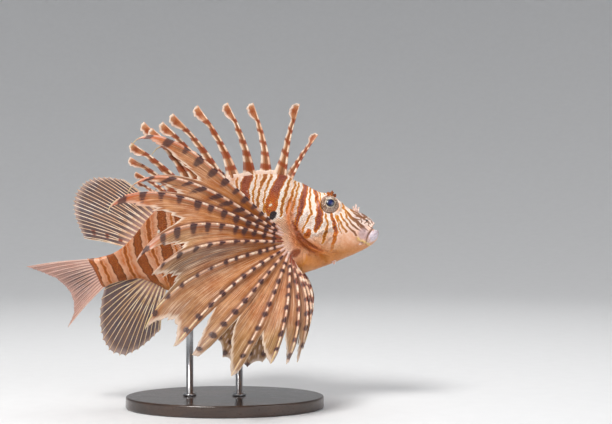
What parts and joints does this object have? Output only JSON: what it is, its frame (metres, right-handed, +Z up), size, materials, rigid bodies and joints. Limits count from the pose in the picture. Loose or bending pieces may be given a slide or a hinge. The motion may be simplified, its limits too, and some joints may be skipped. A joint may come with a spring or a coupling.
{
  "type": "red lionfish",
  "caption": "Life-size still model of a red lionfish with fanned pectoral fins and free dorsal spines, swimming level on a flat stand with short rods.",
  "frame": {"origin": "centre of the underside of the stand's base", "axes": "+X from tail to snout, +Y towards the fish's left side, +Z up"},
  "size_m": [0.3005, 0.191, 0.2591],
  "materials": {
    "skin": "moist fish skin, cream ground with red-brown bars",
    "paired_fin": "thin satin membrane, tan with pale rays banded dark brown",
    "spiny_fin": "satin, cream spines banded red-brown",
    "clear_fin": "thin clear membrane with cream rays",
    "tentacle": "moist soft skin",
    "eye": "wet gloss, dark pupil in a speckled iris",
    "stand_base": "black satin lacquer",
    "stand_rod": "brushed"
  },
  "bodies": {
    "root": {"head": "skin", "lower_jaw": "skin", "gill_cover_right": "skin", "gill_cover_left": "skin", "trunk": "skin", "tail_stem": "skin", "eye_right": "eye", "eye_left": "eye", "brow_tentacle_right": "tentacle", "brow_tentacle_left": "tentacle", "nostril_tentacle_right": "tentacle", "nostril_tentacle_left": "tentacle", "cheek_flap_right": "tentacle", "cheek_flap_left": "tentacle", "mouth_flap_right": "tentacle", "mouth_flap_left": "tentacle", "pectoral_fin_right": "paired_fin", "pectoral_fin_left": "paired_fin", "pelvic_fin_right": "paired_fin", "pelvic_fin_left": "paired_fin", "dorsal_fin_spiny": "spiny_fin", "dorsal_fin_soft": "clear_fin", "anal_fin": "clear_fin", "caudal_fin": "clear_fin", "stand_base": "stand_base", "stand_rod_front": "stand_rod", "stand_rod_rear": "stand_rod"}
  },
  "joints": []
}
